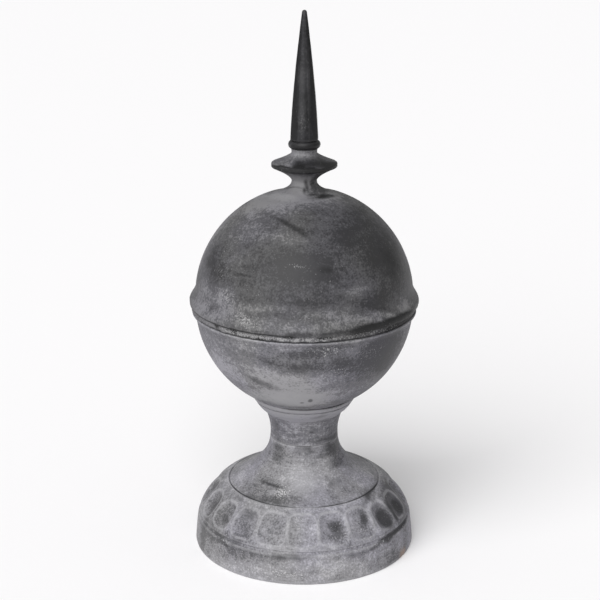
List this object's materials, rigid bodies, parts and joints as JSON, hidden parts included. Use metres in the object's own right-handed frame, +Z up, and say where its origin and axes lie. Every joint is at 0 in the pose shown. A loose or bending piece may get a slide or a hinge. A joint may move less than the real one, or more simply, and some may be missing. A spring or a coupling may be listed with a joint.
{
  "type": "roof finial",
  "caption": "Roof finial with a scooped round foot, a waisted stem, a ball cast in two halves and a tall spike, standing on a flat underside.",
  "frame": {"origin": "centre of the flat underside", "axes": "+Z up along the axis of the spike, -Y towards the viewer of the front, one scooped panel close to the middle of the front"},
  "size_m": [0.2512, 0.2512, 0.5962],
  "materials": {
    "weathered_base": "matte mid grey, weathered, with pale bloom and dark stains",
    "weathered_ball": "matte dark grey, weathered, with smears and pale bloom",
    "dark_spike": "near black with a faint sheen"
  },
  "bodies": {
    "root": {"base": "weathered_base", "lower_bowl": "weathered_ball", "upper_dome": "weathered_ball", "spike": "dark_spike"}
  },
  "joints": []
}
